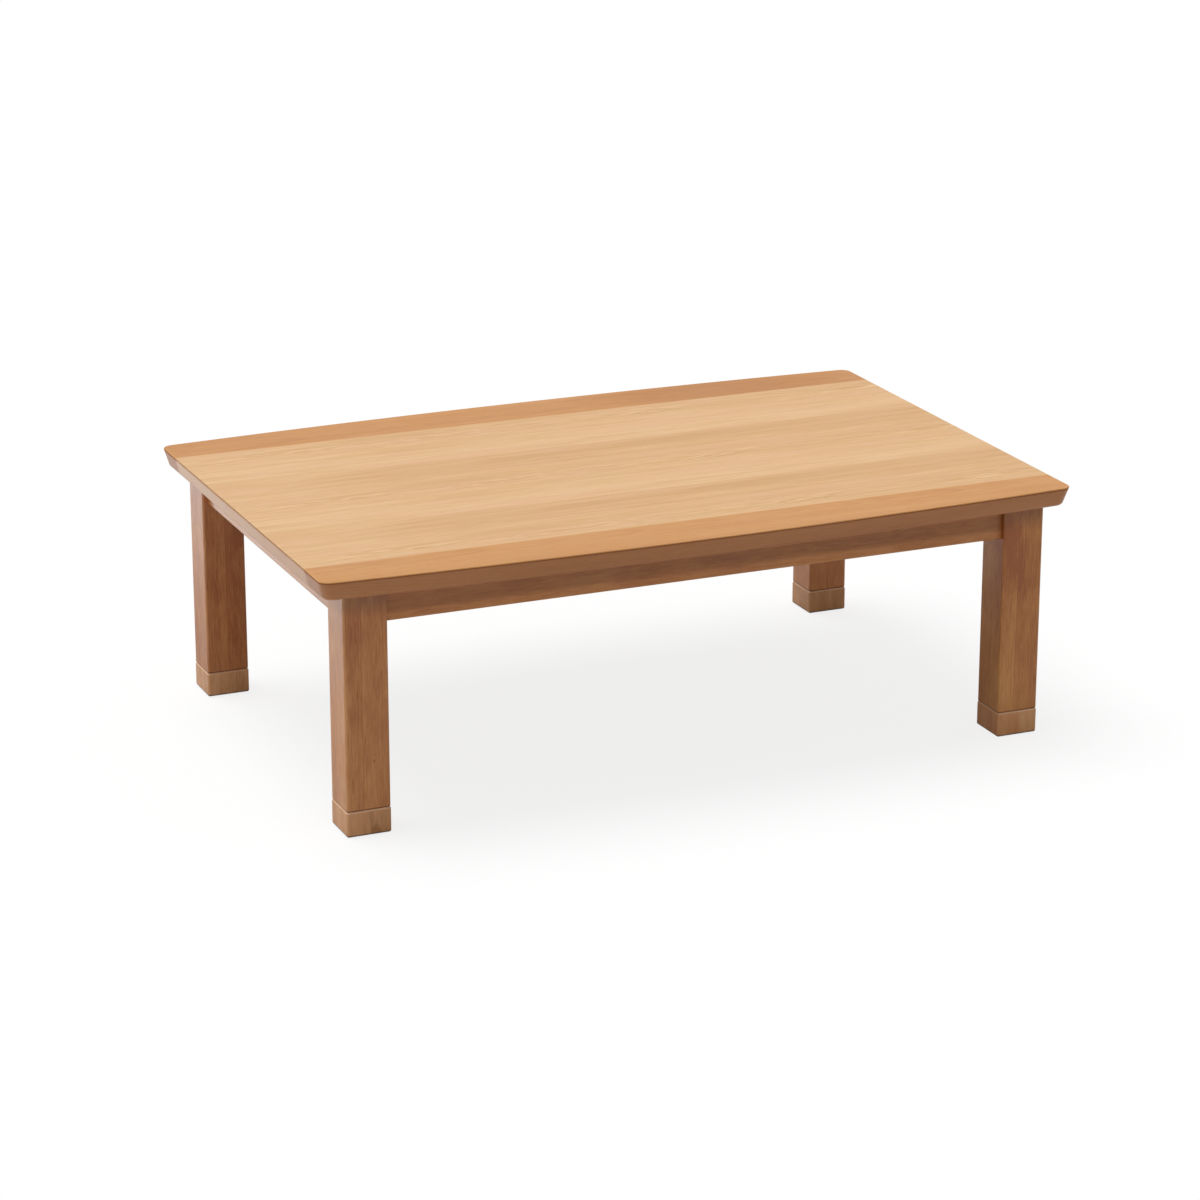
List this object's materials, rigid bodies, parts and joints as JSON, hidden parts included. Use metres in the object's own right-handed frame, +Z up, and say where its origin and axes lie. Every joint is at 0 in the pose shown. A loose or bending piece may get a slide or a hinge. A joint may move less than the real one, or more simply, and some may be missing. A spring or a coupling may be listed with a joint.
{
  "type": "kotatsu table",
  "caption": "Low heated table with a loose bowed two-tone top, square legs on screw-in feet, and a fan-assisted quartz heater carried on bars under the top.",
  "frame": {"origin": "on the floor, under the centre of the top", "axes": "+X along the long side, +Y to the back, +Z up"},
  "size_m": [1.199, 0.799, 0.395],
  "materials": {
    "pale_veneer": "satin clear lacquer on pale straight-grained veneer",
    "band_wood": "satin lacquer on reddish fine-grained wood",
    "core_board": "raw fibreboard",
    "backing_sheet": "matte resin paper",
    "frame_wood": "satin lacquer on reddish brown wood",
    "foot_wood": "satin lacquer on reddish brown wood",
    "zinc_steel": "bright zinc plate",
    "glide_felt": "pressed brown felt",
    "cushion_rubber": "matte black rubber",
    "carrier_wood": "planed unfinished softwood",
    "heater_paint": "dark grey baked paint",
    "bright_aluminium": "polished sheet",
    "quartz_glass": "milky quartz",
    "element_metal": "oxidised resistance wire",
    "ceramic_white": "unglazed steatite",
    "motor_plastic": "heat-proof moulded plastic",
    "thermostat_metal": "pressed cap",
    "lead_sleeve": "white glass-braid sleeve",
    "guard_finish": "dark brown flocked paint",
    "inlet_plastic": "black moulded plastic",
    "pin_brass": "nickel-free drawn brass"
  },
  "bodies": {
    "frame": {"apron_back": "frame_wood", "apron_front": "frame_wood", "apron_left": "frame_wood", "apron_right": "frame_wood", "bolt_washers": "zinc_steel", "bracket_screws": "zinc_steel", "corner_brackets": "zinc_steel", "crossbar_dowels": "carrier_wood", "crossbar_left": "carrier_wood", "crossbar_right": "carrier_wood", "fan_motor": "motor_plastic", "frame_cushions": "cushion_rubber", "guard_screws": "zinc_steel", "hanger_bolts": "zinc_steel", "heater_guard": "guard_finish", "heater_housing": "heater_paint", "heater_reflector": "bright_aluminium", "heater_screws": "zinc_steel", "heating_elements": "element_metal", "heating_tube_back": "quartz_glass", "heating_tube_front": "quartz_glass", "inlet_pins": "pin_brass", "internal_leads": "lead_sleeve", "leg_back_left": "frame_wood", "leg_back_right": "frame_wood", "leg_front_left": "frame_wood", "leg_front_right": "frame_wood", "leg_insert_nuts": "zinc_steel", "motor_screws": "zinc_steel", "power_inlet": "inlet_plastic", "terminal_block": "ceramic_white", "thermal_fuse": "thermostat_metal", "thermostat": "thermostat_metal", "tie_back": "carrier_wood", "tie_front": "carrier_wood", "tie_screws": "zinc_steel", "tube_clips": "zinc_steel", "tube_end_caps": "ceramic_white", "wing_nuts": "zinc_steel"},
    "tabletop": {"tabletop_backing": "backing_sheet", "tabletop_band_back": "band_wood", "tabletop_band_front": "band_wood", "tabletop_core": "core_board", "tabletop_edge_strip_left": "band_wood", "tabletop_edge_strip_right": "band_wood", "tabletop_veneer": "pale_veneer"},
    "fan": {"fan_wheel": "motor_plastic", "fan_shaft": "zinc_steel"},
    "foot_front_left": {"foot_block_front_left": "foot_wood", "foot_stud_front_left": "zinc_steel", "foot_glide_front_left": "glide_felt"},
    "foot_front_right": {"foot_block_front_right": "foot_wood", "foot_stud_front_right": "zinc_steel", "foot_glide_front_right": "glide_felt"},
    "foot_back_right": {"foot_block_back_right": "foot_wood", "foot_stud_back_right": "zinc_steel", "foot_glide_back_right": "glide_felt"},
    "foot_back_left": {"foot_block_back_left": "foot_wood", "foot_stud_back_left": "zinc_steel", "foot_glide_back_left": "glide_felt"}
  },
  "joints": [
    {"name": "tabletop_lift", "type": "slide", "parent": "frame", "child": "tabletop", "axis": [0, 0, 1], "range_m": [0, 0.25]},
    {"name": "fan_spin", "type": "hinge", "parent": "frame", "child": "fan", "pos_m": [0, 0, 0.325], "axis": [0, 0, 1], "continuous": true},
    {"name": "foot_front_left_unscrew", "type": "slide", "parent": "frame", "child": "foot_front_left", "axis": [0, 0, -1], "range_m": [0, 0.03]},
    {"name": "foot_front_right_unscrew", "type": "slide", "parent": "frame", "child": "foot_front_right", "axis": [0, 0, -1], "range_m": [0, 0.03]},
    {"name": "foot_back_right_unscrew", "type": "slide", "parent": "frame", "child": "foot_back_right", "axis": [0, 0, -1], "range_m": [0, 0.03]},
    {"name": "foot_back_left_unscrew", "type": "slide", "parent": "frame", "child": "foot_back_left", "axis": [0, 0, -1], "range_m": [0, 0.03]}
  ]
}
